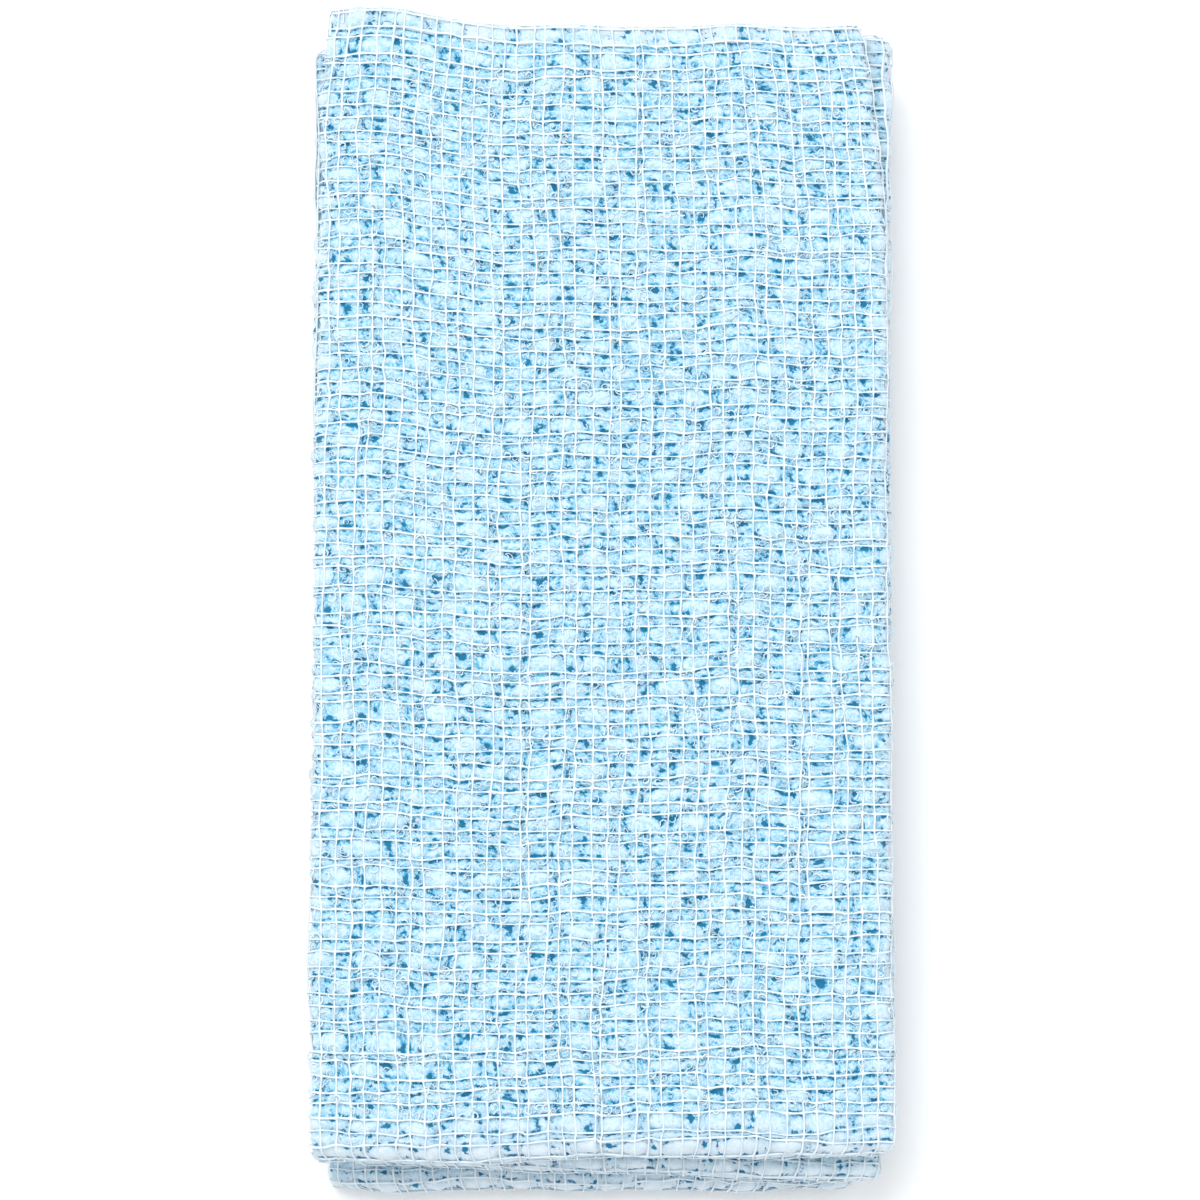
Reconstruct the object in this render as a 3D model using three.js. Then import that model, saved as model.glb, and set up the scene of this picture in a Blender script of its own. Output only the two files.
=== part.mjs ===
// Folded washing towel of open mesh cloth.
//
// One long strip of cloth is folded in three across its width, so that the wide face lies over an
// inner flap (turned under from the left edge) and an outer flap (turned under from the right edge).
// The three-ply strip is then folded to and fro into six panels, panel 1 on top and panel 6 below.
// Odd panels lie face up and even panels face down. Each crease is made as two quarter-round halves,
// one for the panel above it and one for the panel below, so that the pack can open at the crease.
//
// Millimetres. +X is across the pack to the right, +Y is towards the free end of panel 1, +Z is up,
// and the origin is under the middle of the pack, on the surface it lies on.

import * as THREE from 'three';

// Driving sizes
const packWidth = 101;
const panelLength = 196.5; // panel 2, from the outside of its front crease to that of its back crease
const plyThickness = 0.9;
const plyGap = 0.3; // between neighbouring plies
const endGap = 0.3; // between a ply and the crease or hem it runs into
const panelGap = 0.3; // between neighbouring panels

// How far the creases and free ends stand out from each other along the pack
const topEndOverhang = 4.5; // free end of panel 1 past the back crease of panels 2 and 3
const frontStep34 = 2; // front crease of panels 3 and 4 past that of panels 1 and 2
const frontStep56 = 1.8; // front crease of panels 5 and 6 past that of panels 3 and 4
const backStep45 = 5; // back crease of panels 4 and 5 short of that of panels 2 and 3
const lowerEndStep = 5.5; // free end of panel 6 short of the back crease of panels 4 and 5

// The cloth's own edges
const hemWidth = 8;
const outerFlapInset = 1; // selvedge of the outer flap, in from the left edge
const creaseEndInset = 1.5; // rounded corner at each end of a crease
const arcSegments = 8;

// How far each crease or free end is drawn in from the full width of the pack, left and right
const insets = {
  topEnd: { left: 3, right: 5.4 },
  crease12: { left: 1, right: 1.3 },
  crease23: { left: 0, right: 0 },
  crease34: { left: 7.3, right: 3.2 },
  crease45: { left: 2, right: 2 },
  crease56: { left: 3.7, right: 7.5 },
  lowerEnd: { left: 3, right: 3 },
};

const panels = [
  { number: 1, front: 'crease12', back: 'topEnd' },
  { number: 2, front: 'crease12', back: 'crease23' },
  { number: 3, front: 'crease34', back: 'crease23' },
  { number: 4, front: 'crease34', back: 'crease45' },
  { number: 5, front: 'crease56', back: 'crease45' },
  { number: 6, front: 'crease56', back: 'lowerEnd' },
];

const creases = [
  { name: 'crease12', upperPanel: 1, atBack: false },
  { name: 'crease23', upperPanel: 2, atBack: true },
  { name: 'crease34', upperPanel: 3, atBack: false },
  { name: 'crease45', upperPanel: 4, atBack: true },
  { name: 'crease56', upperPanel: 5, atBack: false },
];

const hemNames = { topEnd: 'top_end_hem', lowerEnd: 'lower_end_hem' };

const pliesPerPanel = 3;
const plyPitch = plyThickness + plyGap;
const panelThickness = pliesPerPanel * plyThickness + (pliesPerPanel - 1) * plyGap;
const panelPitch = panelThickness + panelGap;

// Heights of each ply's underside in a panel that lies face up. The outer flap is at height 0.
const innerFlapLevel = plyPitch;
const faceLevel = 2 * plyPitch;

// Each long edge turns under in a half loop: the left one takes in two plies, the right one three
const leftTurnRadius = (2 * plyThickness + plyGap) / 2;
const rightTurnRadius = panelThickness / 2;

// Places along the pack, measured from the outside of the front crease of panels 1 and 2
const alongPack = {
  topEnd: panelLength + topEndOverhang,
  crease12: 0,
  crease23: panelLength,
  crease34: -frontStep34,
  crease45: panelLength - backStep45,
  crease56: -frontStep34 - frontStep56,
  lowerEnd: panelLength - backStep45 - lowerEndStep,
};
const middle = (alongPack.topEnd + alongPack.crease56) / 2;

// A crease or free end: its place along Y, and its left and right edges
function endOf(name) {
  return {
    y: alongPack[name] - middle,
    left: -packWidth / 2 + insets[name].left,
    right: packWidth / 2 - insets[name].right,
  };
}

// The edges of a panel at some place between its two ends
function edgesAt(y, front, back) {
  const share = (y - front.y) / (back.y - front.y);
  return {
    y,
    left: THREE.MathUtils.lerp(front.left, back.left, share),
    right: THREE.MathUtils.lerp(front.right, back.right, share),
  };
}

// Height of a panel's underside, counted up from the lowest panel
function panelBottom(number) {
  return (panels.length - number) * panelPitch;
}

function clothMaterial(name, color, roughness) {
  return new THREE.MeshStandardMaterial({ name, color, roughness, metalness: 0 });
}

const materialMakers = {
  face: () => clothMaterial('blue_texture_yarn', 0xbfe0f4, 0.85),
  flap: () => clothMaterial('blue_texture_yarn_flap', 0xb4d8ef, 0.85),
  crease: () => clothMaterial('white_ground_yarn', 0xe9f1f5, 0.7),
  hem: () => clothMaterial('white_ground_yarn_hem', 0xe3edf2, 0.7),
};

function namedMesh(name, geometry, kind) {
  const mesh = new THREE.Mesh(geometry, materialMakers[kind]());
  mesh.name = name;
  return mesh;
}

// Cross-sections of the folded strip, seen along Y: shape x is across the pack and shape y is up

function faceSection({ left, right }) {
  const from = left + leftTurnRadius + endGap;
  const to = right - rightTurnRadius - endGap;
  const top = faceLevel + plyThickness;
  return new THREE.Shape()
    .moveTo(from, faceLevel)
    .lineTo(to, faceLevel)
    .lineTo(to, top)
    .lineTo(from, top)
    .closePath();
}

// Outside of the left turn, from the inner flap up to the face
function drawLeftTurnOutside(shape, left) {
  const height = innerFlapLevel + leftTurnRadius;
  shape.absarc(left + leftTurnRadius, height, leftTurnRadius, -Math.PI / 2, Math.PI / 2, true);
}

// Inside of the left turn, from the face down to the inner flap
function drawLeftTurnInside(shape, left) {
  const height = innerFlapLevel + leftTurnRadius;
  const radius = leftTurnRadius - plyThickness;
  shape.absarc(left + leftTurnRadius, height, radius, Math.PI / 2, -Math.PI / 2, false);
}

// Outside of the right turn, from the face down to the outer flap
function drawRightTurnOutside(shape, right) {
  const radius = rightTurnRadius;
  shape.absarc(right - radius, radius, radius, Math.PI / 2, -Math.PI / 2, true);
}

// Inside of the right turn, from the outer flap up to the face
function drawRightTurnInside(shape, right) {
  const radius = rightTurnRadius - plyThickness;
  shape.absarc(right - rightTurnRadius, rightTurnRadius, radius, -Math.PI / 2, Math.PI / 2, false);
}

function innerFlapFreeEdge(right) {
  return right - rightTurnRadius - endGap;
}

function innerFlapSection({ left, right }) {
  const freeEdge = innerFlapFreeEdge(right);
  const shape = new THREE.Shape();
  shape.moveTo(freeEdge, innerFlapLevel);
  drawLeftTurnOutside(shape, left);
  drawLeftTurnInside(shape, left);
  shape.lineTo(freeEdge, innerFlapLevel + plyThickness);
  return shape.closePath();
}

function outerFlapSection({ left, right }) {
  const freeEdge = left + outerFlapInset;
  const shape = new THREE.Shape();
  shape.moveTo(freeEdge, plyThickness);
  drawRightTurnInside(shape, right);
  drawRightTurnOutside(shape, right);
  shape.lineTo(freeEdge, 0);
  return shape.closePath();
}

// The whole ribbon, from the inner flap's free edge round both turns to the outer flap's free edge
function hemSection({ left, right }) {
  const innerFreeEdge = innerFlapFreeEdge(right);
  const outerFreeEdge = left + outerFlapInset;
  const shape = new THREE.Shape();
  shape.moveTo(innerFreeEdge, innerFlapLevel);
  drawLeftTurnOutside(shape, left);
  drawRightTurnOutside(shape, right);
  shape.lineTo(outerFreeEdge, 0);
  shape.lineTo(outerFreeEdge, plyThickness);
  drawRightTurnInside(shape, right);
  drawLeftTurnInside(shape, left);
  shape.lineTo(innerFreeEdge, innerFlapLevel + plyThickness);
  return shape.closePath();
}

// Runs a section along Y from one place to another, and lets its left and right edges draw in
function runAlongY(section, near, far) {
  const geometry = new THREE.ExtrudeGeometry(section(near), {
    depth: far.y - near.y,
    bevelEnabled: false,
    curveSegments: arcSegments,
  });
  geometry.rotateX(Math.PI / 2); // shape y now points up and the depth towards -Y
  geometry.translate(0, far.y, 0);
  const position = geometry.getAttribute('position');
  const halfway = (near.y + far.y) / 2;
  for (let i = 0; i < position.count; i += 1) {
    if (position.getY(i) > halfway) {
      const x = position.getX(i);
      position.setX(i, x + (x < 0 ? far.left - near.left : far.right - near.right));
    }
  }
  return geometry;
}

// A panel that lies face down is made face up and then turned over about X, as folding turns it.
// Its front and back places change ends with it.
function localPlaces(frontPlace, backPlace, faceDown) {
  if (!faceDown) {
    return [frontPlace, backPlace];
  }
  return [backPlace, frontPlace].map((place) => ({ ...place, y: -place.y }));
}

// Room that a crease or a hem takes up at the end of a panel
function roomAt(endName) {
  return endName in hemNames ? hemWidth : panelThickness;
}

function makePanel({ number, front, back }) {
  const faceDown = number % 2 === 0;
  const frontEnd = endOf(front);
  const backEnd = endOf(back);
  const plyFront = edgesAt(frontEnd.y + roomAt(front) + endGap, frontEnd, backEnd);
  const plyBack = edgesAt(backEnd.y - roomAt(back) - endGap, frontEnd, backEnd);
  const [near, far] = localPlaces(plyFront, plyBack, faceDown);

  const panel = new THREE.Group();
  panel.add(namedMesh(`panel_${number}_face`, runAlongY(faceSection, near, far), 'face'));
  panel.add(namedMesh(`panel_${number}_inner_flap`, runAlongY(innerFlapSection, near, far), 'flap'));
  panel.add(namedMesh(`panel_${number}_outer_flap`, runAlongY(outerFlapSection, near, far), 'flap'));

  // the sewn end of the strip, folded in three with it; both free ends are at the pack's back
  if (back in hemNames) {
    const hemStart = edgesAt(backEnd.y - hemWidth, frontEnd, backEnd);
    const [hemNear, hemFar] = localPlaces(hemStart, backEnd, faceDown);
    panel.add(namedMesh(hemNames[back], runAlongY(hemSection, hemNear, hemFar), 'hem'));
  }

  panel.rotation.x = faceDown ? Math.PI : 0;
  panel.position.z = panelBottom(number) + (faceDown ? panelThickness : 0);
  return panel;
}

// Three plies turning together, as a quarter round along the crease. The upper half belongs to the
// panel above the crease and the lower half to the panel below.
function makeCreaseHalf(label, { name, upperPanel, atBack }, upper) {
  const crease = endOf(name);
  const quadrants = atBack ? { upper: 0, lower: 3 } : { upper: 1, lower: 2 };
  const start = (upper ? quadrants.upper : quadrants.lower) * (Math.PI / 2);
  const section = new THREE.Shape();
  section.moveTo(0, 0);
  section.absarc(0, 0, panelThickness, start, start + Math.PI / 2, false);
  section.closePath();

  const geometry = new THREE.ExtrudeGeometry(section, {
    depth: crease.right - crease.left - 2 * creaseEndInset,
    bevelEnabled: false,
    curveSegments: arcSegments,
  });
  const turnToPack = new THREE.Matrix4().makeBasis(
    new THREE.Vector3(0, 1, 0), // shape x runs along the pack
    new THREE.Vector3(0, 0, 1), // shape y runs up
    new THREE.Vector3(1, 0, 0), // depth runs across the pack
  );
  geometry.applyMatrix4(turnToPack);

  const mesh = namedMesh(`${label}_${upper ? 'upper' : 'lower'}_half`, geometry, 'crease');
  mesh.position.x = crease.left + creaseEndInset;
  mesh.position.y = crease.y + (atBack ? -panelThickness : panelThickness);
  mesh.position.z = panelBottom(upperPanel) - (upper ? 0 : panelGap);
  return mesh;
}

const towel = new THREE.Group();
towel.name = 'folded_towel';

for (const panel of panels) {
  towel.add(makePanel(panel));
}

for (const crease of creases) {
  const label = `crease_${crease.upperPanel}_${crease.upperPanel + 1}`;
  towel.add(makeCreaseHalf(label, crease, true));
  towel.add(makeCreaseHalf(label, crease, false));
}

export default towel;
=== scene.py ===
"""Folded washing towel of open mesh cloth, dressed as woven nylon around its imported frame.

The cloth is one strip, folded in three across its width and to and fro into six panels. The weave is
laid out flat first, as a lattice of crossings between the threads that run along the strip and those
that run across it. fold() then takes any point of the flat cloth to its place in the pack.
"""

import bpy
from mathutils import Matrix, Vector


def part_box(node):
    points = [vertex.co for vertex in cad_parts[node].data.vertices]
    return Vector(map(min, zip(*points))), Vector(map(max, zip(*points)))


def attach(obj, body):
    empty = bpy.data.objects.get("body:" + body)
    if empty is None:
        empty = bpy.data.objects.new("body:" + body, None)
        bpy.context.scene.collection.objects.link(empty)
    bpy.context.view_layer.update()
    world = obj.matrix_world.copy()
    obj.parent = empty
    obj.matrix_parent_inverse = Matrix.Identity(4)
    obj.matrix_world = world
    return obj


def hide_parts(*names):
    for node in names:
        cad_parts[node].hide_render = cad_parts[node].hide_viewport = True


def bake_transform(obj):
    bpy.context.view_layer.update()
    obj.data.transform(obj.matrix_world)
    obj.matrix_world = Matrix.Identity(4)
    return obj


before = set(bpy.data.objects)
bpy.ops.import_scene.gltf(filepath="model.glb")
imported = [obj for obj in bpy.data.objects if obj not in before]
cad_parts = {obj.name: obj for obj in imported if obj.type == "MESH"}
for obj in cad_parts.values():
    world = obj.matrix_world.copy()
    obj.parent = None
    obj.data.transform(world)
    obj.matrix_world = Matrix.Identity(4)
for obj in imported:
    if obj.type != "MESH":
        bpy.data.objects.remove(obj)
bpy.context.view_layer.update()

import math

import bpy
import numpy as np
from bpy.props import FloatProperty, FloatVectorProperty, IntProperty, PointerProperty
from bpy.types import Operator, Panel, PropertyGroup
from mathutils import Matrix

bl_info = {
    "name": "Folded mesh washing towel",
    "version": (1, 0, 0),
    "blender": (4, 5, 0),
    "location": "3D View > Sidebar > Towel",
    "description": "Weaves the cloth of a folded washing towel over its frame",
    "category": "Object",
}

MM = 0.001


# ---------------------------------------------------------------------------------------------
# The pack, measured from the frame, in millimetres


def box_mm(node):
    """Lowest and highest corner of a node, in millimetres."""
    low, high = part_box(node)
    return np.array(low) / MM, np.array(high) / MM


PANELS = range(1, 7)
CREASES = range(1, 6)  # crease n joins panel n to panel n + 1
CREASE_CORNER = 1.5  # rounded off each end of a crease
HEM_RADIUS = 0.4  # the cloth turns back under itself at a hem
THREAD_LIFT = 0.5  # how far the threads stand proud of the middle of a ply

face_low, face_high = box_mm("panel_1_face")
inner_low, inner_high = box_mm("panel_1_inner_flap")
outer_low, outer_high = box_mm("panel_1_outer_flap")
PLY = face_high[2] - face_low[2]
PLY_PITCH = face_low[2] - inner_low[2]
PANEL_THICKNESS = face_high[2] - outer_low[2]
PANEL_GAP = outer_low[2] - box_mm("panel_2_outer_flap")[1][2]
PANEL_PITCH = PANEL_THICKNESS + PANEL_GAP

# Heights of the middle of each ply in a panel that lies face up, above the panel's underside
OUTER_FLAP = PLY / 2
INNER_FLAP = OUTER_FLAP + PLY_PITCH
FACE = INNER_FLAP + PLY_PITCH
LEFT_TURN = (FACE - INNER_FLAP) / 2
RIGHT_TURN = (FACE - OUTER_FLAP) / 2
CREASE_RADIUS = PANEL_THICKNESS + PANEL_GAP / 2  # outside of a crease
CREASE_WEAVE = CREASE_RADIUS - PLY / 2  # middle of the outermost ply in a crease
QUARTER = CREASE_WEAVE * math.pi / 2


def crease_end(number):
    """Place and edges of a crease, and the height at which its two halves meet."""
    upper = box_mm(f"crease_{number}_{number + 1}_upper_half")
    lower = box_mm(f"crease_{number}_{number + 1}_lower_half")
    at_back = number % 2 == 0
    nose = upper[1][1] if at_back else upper[0][1]
    return {
        "at_back": at_back,
        "nose": nose,
        "centre": nose - CREASE_RADIUS if at_back else nose + CREASE_RADIUS,
        "left": upper[0][0] - CREASE_CORNER,
        "right": upper[1][0] + CREASE_CORNER,
        "height": (upper[0][2] + lower[1][2]) / 2,
    }


def free_end(node):
    """Place and edges of a free end of the cloth."""
    low, high = box_mm(node)
    return {
        "at_back": True,
        "nose": high[1],
        "centre": high[1] - HEM_RADIUS - THREAD_LIFT,
        "left": low[0],
        "right": high[0],
    }


ENDS = {number: crease_end(number) for number in CREASES}
ENDS[0] = free_end("top_end_hem")
ENDS[6] = free_end("lower_end_hem")
PANEL_BOTTOM = {number: (6 - number) * PANEL_PITCH for number in PANELS}

# How unevenly each crease was laid down: its shift along the pack at the left and at the right
LAID = {1: (-0.1, 1.2), 2: (-1.6, 1.0), 3: (2.4, -0.8), 4: (0.6, -0.5), 5: (0.5, 0.5), 6: (0.0, 0.0)}
LAID_WAVE = 0.25  # a crease waves by this much
FREE_END_SAG = 3.4  # the free end of panel 1 is drawn in from its left corner to the right
FREE_END_STEP = 0.24  # share of the width over which it draws in
FREE_END_CORNER = 0.09  # share of the width that the left corner takes
FREE_END_NIP = 0.9  # the tip of that corner is drawn in by this much
FREE_END_WAVES = 23  # turn of the small wave along the free end, in radians


def smooth_step(x):
    """Runs from 0 to 1 without a kink at either end."""
    x = np.clip(x, 0, 1)
    return x * x * (3 - 2 * x)


def free_end_shift(share):
    """Shift of the free end of panel 1 along the pack, at each share of the width from the left."""
    sag = FREE_END_SAG * smooth_step((share - FREE_END_CORNER) / FREE_END_STEP)
    corner = FREE_END_NIP * np.clip(1 - share / FREE_END_CORNER, 0, 1) ** 2
    return -sag - corner - LAID_WAVE * np.sin(share * FREE_END_WAVES) * share


def laid_shift(end, share):
    """Shift of one end of a panel along the pack, at each share of the width from the left."""
    if end == 0:
        return free_end_shift(share)
    left, right = LAID[end]
    wave = LAID_WAVE * np.sin(share * (9 + 2 * end) + 1.7 * end)
    return left + (right - left) * share + wave


# ---------------------------------------------------------------------------------------------
# The flat cloth: stations across it (u) and along it (v), in millimetres

WIDEST = max(end["right"] - end["left"] for end in ENDS.values())
FACE_WIDTH = WIDEST - (LEFT_TURN + RIGHT_TURN + PLY)
INNER_FLAP_INSET = 0.3  # free edge of the inner flap, short of the right turn
OUTER_FLAP_INSET = 1.0  # selvedge of the outer flap, in from the left edge
U_LEFT_TURN = FACE_WIDTH - INNER_FLAP_INSET
U_FACE = U_LEFT_TURN + math.pi * LEFT_TURN
U_RIGHT_TURN = U_FACE + FACE_WIDTH
U_OUTER_FLAP = U_RIGHT_TURN + math.pi * RIGHT_TURN
U_END = U_OUTER_FLAP + WIDEST - RIGHT_TURN - PLY / 2 - OUTER_FLAP_INSET


def straight_of(number):
    """Length of a panel between its two creases."""
    return abs(ENDS[number]["centre"] - ENDS[number - 1]["centre"])


def stations_along():
    """For each panel, where its straight part starts and ends along the flat cloth."""
    found = {}
    place = 0.0
    for number in PANELS:
        found[number] = (place, place + straight_of(number))
        place = found[number][1] + 2 * QUARTER
    return found


V_PANEL = stations_along()
V_END = V_PANEL[6][1]


FREE_END_TAPER = 14  # the higher, the nearer to its corners panel 1 is drawn in


def edges_of(number, share):
    """Left and right edge of a panel, at each share of the way from its lower to its higher end number."""
    first, last = ENDS[number - 1], ENDS[number]
    if number == 1:
        share = 1 - (1 - share) ** FREE_END_TAPER
    return (
        first["left"] + (last["left"] - first["left"]) * share,
        first["right"] + (last["right"] - first["right"]) * share,
    )


def across(u, left, right):
    """Section of the folded strip: x, height in the panel, the outward normal and how tightly it turns."""
    scale_to = right - RIGHT_TURN - PLY / 2
    scale_from = left + LEFT_TURN + PLY / 2
    x, height = np.zeros_like(u), np.zeros_like(u)
    nx, nz = np.zeros_like(u), np.full_like(u, -1.0)

    inner = u < U_LEFT_TURN
    share = (U_LEFT_TURN - u) / U_LEFT_TURN
    x[inner] = (scale_from + share * (scale_to - INNER_FLAP_INSET - scale_from))[inner]
    height[inner] = INNER_FLAP

    turn = (u >= U_LEFT_TURN) & (u < U_FACE)
    angle = (u - U_LEFT_TURN) / LEFT_TURN
    x[turn] = (scale_from - LEFT_TURN * np.sin(angle))[turn]
    height[turn] = ((INNER_FLAP + FACE) / 2 - LEFT_TURN * np.cos(angle))[turn]
    nx[turn], nz[turn] = -np.sin(angle)[turn], -np.cos(angle)[turn]

    face = (u >= U_FACE) & (u < U_RIGHT_TURN)
    share = (u - U_FACE) / FACE_WIDTH
    x[face] = (scale_from + share * (scale_to - scale_from))[face]
    height[face] = FACE
    nz[face] = 1

    turn = (u >= U_RIGHT_TURN) & (u < U_OUTER_FLAP)
    angle = (u - U_RIGHT_TURN) / RIGHT_TURN
    x[turn] = (scale_to + RIGHT_TURN * np.sin(angle))[turn]
    height[turn] = ((OUTER_FLAP + FACE) / 2 + RIGHT_TURN * np.cos(angle))[turn]
    nx[turn], nz[turn] = np.sin(angle)[turn], np.cos(angle)[turn]

    outer = u >= U_OUTER_FLAP
    share = (u - U_OUTER_FLAP) / (U_END - U_OUTER_FLAP)
    x[outer] = (scale_to - share * (scale_to - left - OUTER_FLAP_INSET))[outer]
    height[outer] = OUTER_FLAP
    return x, height, nx, nz


CREASES_HOLD_FROM = 92.0  # from here to the ends the folded creases hold the stack level
CREASES_FADE = 12.0  # their hold fades over this length
HILL = 0.16  # height of the unevenness of the top
DROOP = 0.75  # the long edges droop by this much at the top
DROOP_REACH = 7.0  # from this far in

# Each wave has its height, how it turns with two coordinates, and its phase
HILLS = (
    (1.0, 0.071, 0.043, 0.4),
    (1.0, -0.048, 0.089, 2.1),
    (1.0, 0.118, -0.031, 4.4),
    (0.6, 0.19, 0.17, 1.3),
)
SWAY_ACROSS = ((0.22, 0.083, 0.5, 0.0), (0.14, 0.21, 0.9, 1.0))
SWAY_ALONG = ((0.16, 0.16, 0.8, 0.0), (0.1, 0.41, 1.3, 2.0))


def add_waves(start, first, second, waves):
    """Adds each wave over two coordinates to start."""
    for high, by_first, by_second, phase in waves:
        start = start + high * np.sin(first * by_first + second * by_second + phase)
    return start


def settle(x, y, z):
    """The whole pack settles by hand: the top is a little uneven and the long edges droop."""
    top = z / (6 * PANEL_PITCH)
    hills = add_waves(0, x, y, HILLS)
    droop = smooth_step((np.abs(x) - WIDEST / 2 + DROOP_REACH) / DROOP_REACH)
    middle = smooth_step((CREASES_HOLD_FROM - np.abs(y)) / CREASES_FADE)
    z = z + middle * top * (HILL * hills - DROOP * droop)
    x = add_waves(x, y, z, SWAY_ACROSS)
    y = add_waves(y, x, z, SWAY_ALONG)
    return x, y, z


POINTED = 0.15  # inner plies reach this share of their depth short of the outermost ply's nose
CALM_REACH = 6.0  # the cloth lies flatter this far from a crease, where two panels face each other
CALM = 0.9  # share of its relief that it loses there
HEM_STRETCH = 1.2  # past this far into a hem's turn the cloth is drawn thin and greyed with painted shade
EDGE_REACH, EDGE_THIN_SHADE = 5.0, 0.42  # the cloth is drawn thin and greyed with painted shade from this far in, up to this share
# how far from a crease or a free end, and how much, the cloth is drawn thin and greyed with painted shade
CREASE_REACH, FREE_END_REACH, END_THIN_SHADE = 9.0, 4.0, 0.5


def bend_round(number, angle, x, height, share_across):
    """Points of crease number: angle is 0 on the panel above and pi on the panel below."""
    end = ENDS[number]
    depth = CREASE_RADIUS - height if end["at_back"] else height + PANEL_GAP / 2
    reach = CREASE_WEAVE + (depth - CREASE_WEAVE) * np.where(depth > CREASE_WEAVE, 1, POINTED)
    away = 1 if end["at_back"] else -1
    y = end["centre"] + laid_shift(number, share_across) + away * reach * np.sin(angle)
    return x, y, end["height"] + depth * np.cos(angle)


def fold(u, v, lift):
    """Takes points of the flat cloth, lifted off it by lift, to the pack. Also says where cloth is bent,
    which thickens threads and greys the cloth, partly as painted shade.
    """
    x, y, z, bent = (np.zeros_like(u) for _ in range(4))
    for number in PANELS:
        start, stop = V_PANEL[number]
        first, last = ENDS[number - 1], ENDS[number]
        mine = (v >= start) & (v <= stop)
        mine |= (number == 1) & (v < start)
        mine |= (number == 6) & (v > stop)
        if mine.any():
            flat_v = np.clip(v[mine], start, stop)
            share = (flat_v - start) / (stop - start)
            left, right = edges_of(number, share)
            px, height, nx, nz = across(u[mine], left, right)
            share_across = np.clip((px - left) / (right - left), 0, 1)
            raised = lift[mine] * calm_near(number, flat_v, nz)
            over = np.where(v[mine] < start, start - v[mine], np.maximum(v[mine] - stop, 0))
            turn = np.minimum(over / HEM_RADIUS, math.pi)
            back = over - turn * HEM_RADIUS
            off = raised * np.cos(turn) - HEM_RADIUS * (1 - np.cos(turn))
            px = px + nx * off
            height = height + nz * off
            y0 = first["centre"] + laid_shift(number - 1, share_across)
            y1 = last["centre"] + laid_shift(number, share_across)
            out = (HEM_RADIUS + raised) * np.sin(turn) - back
            py = y0 + (y1 - y0) * share + np.where(over > 0, out, 0)
            face_up = number % 2 == 1
            pz = PANEL_BOTTOM[number] + (height if face_up else PANEL_THICKNESS - height)
            x[mine], y[mine], z[mine] = px, py, pz
            thin = thin_and_shaded_near(number, flat_v, px, left, right)
            # where the cloth faces sideways, turns under at a hem or nears an edge or end: thicker threads,
            # and grey that is partly painted shade
            bent[mine] = np.maximum.reduce([np.abs(nx), np.clip(over / HEM_STRETCH, 0, 1), thin])
        if number == 6:
            continue
        mine = (v > stop) & (v < V_PANEL[number + 1][0])
        if mine.any():
            angle = (v[mine] - stop) / CREASE_WEAVE
            corner = CREASE_CORNER * np.sin(angle) ** 4
            left = ENDS[number]["left"] + corner
            right = ENDS[number]["right"] - corner
            px, height, nx, nz = across(u[mine], left, right)
            share_across = np.clip((px - left) / (right - left), 0, 1)
            off = lift[mine] * calm_near(number, np.full_like(angle, stop), nz)
            raised_x, raised_height = px + nx * off, height + nz * off
            round_crease = bend_round(number, angle, raised_x, raised_height, share_across)
            x[mine], y[mine], z[mine] = round_crease
            # greyest at a crease's nose, which turns away from the light: partly painted shade
            bent[mine] = np.maximum(np.abs(nx), 0.5 + 0.5 * np.sin(angle))
    x, y, z = settle(x, y, z)
    return np.stack([x, y, z], -1) * MM, bent


def thin_and_shaded_near(number, v, x, left, right):
    """How thin the cloth is drawn, and how much painted shade greys it, on the way to a long edge, a crease
    or a free end.
    """
    start, stop = V_PANEL[number]
    from_edge = np.minimum(x - left, right - x)
    thin = EDGE_THIN_SHADE * smooth_step(1 - from_edge / EDGE_REACH)
    for end, place in ((number - 1, start), (number, stop)):
        reach = FREE_END_REACH if end in (0, 6) else CREASE_REACH
        thin = np.maximum(thin, END_THIN_SHADE * smooth_step(1 - np.abs(v - place) / reach))
    return thin


def calm_near(number, v, nz):
    """Less relief on the side of the cloth that a crease closes on its neighbour."""
    start, stop = V_PANEL[number]
    factor = np.ones_like(v)
    for end, place in ((number - 1, start), (number, stop)):
        if end in (0, 6):
            continue
        closed_on = 1 if ENDS[end]["at_back"] else -1
        near = smooth_step(1 - np.abs(v - place) / CALM_REACH)
        factor -= CALM * near * (nz * closed_on > 0.3)
    return factor


# ---------------------------------------------------------------------------------------------
# The weave: a lattice of crossings with the unevenness of real cloth


def spread_weights(places, count):
    """Matrix that reads a row of count values at fractional places, smoothly through each value."""
    places = np.clip(places, 0, count - 1)
    base = np.clip(np.floor(places).astype(int), 0, count - 2)
    t = places - base
    parts = (
        (-1, -0.5 * t + t**2 - 0.5 * t**3),
        (0, 1 - 2.5 * t**2 + 1.5 * t**3),
        (1, 0.5 * t + 2 * t**2 - 1.5 * t**3),
        (2, -0.5 * t**2 + 0.5 * t**3),
    )
    matrix = np.zeros((len(places), count))
    rows = np.arange(len(places))
    for step, weight in parts:
        np.add.at(matrix, (rows, np.clip(base + step, 0, count - 1)), weight)
    return matrix


def soften(values, width, axis):
    """Runs a smooth average along one axis and brings the spread back to one."""
    reach = int(3 * width)
    kernel = np.exp(-0.5 * (np.arange(-reach, reach + 1) / width) ** 2)
    padded = np.pad(values, [(reach, reach) if a == axis else (0, 0) for a in (0, 1)], mode="reflect")
    out = sum(w * np.take(padded, range(i, i + values.shape[axis]), axis) for i, w in enumerate(kernel))
    return out / out.std()


# How a crossing strays: drifting with its neighbours, with its whole thread, and by itself
STRAY_ACROSS, DRIFT_ACROSS = (1.0, 0.55, 0.45), 5
STRAY_ALONG, DRIFT_ALONG = (0.8, 0.35, 0.5), 3

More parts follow.
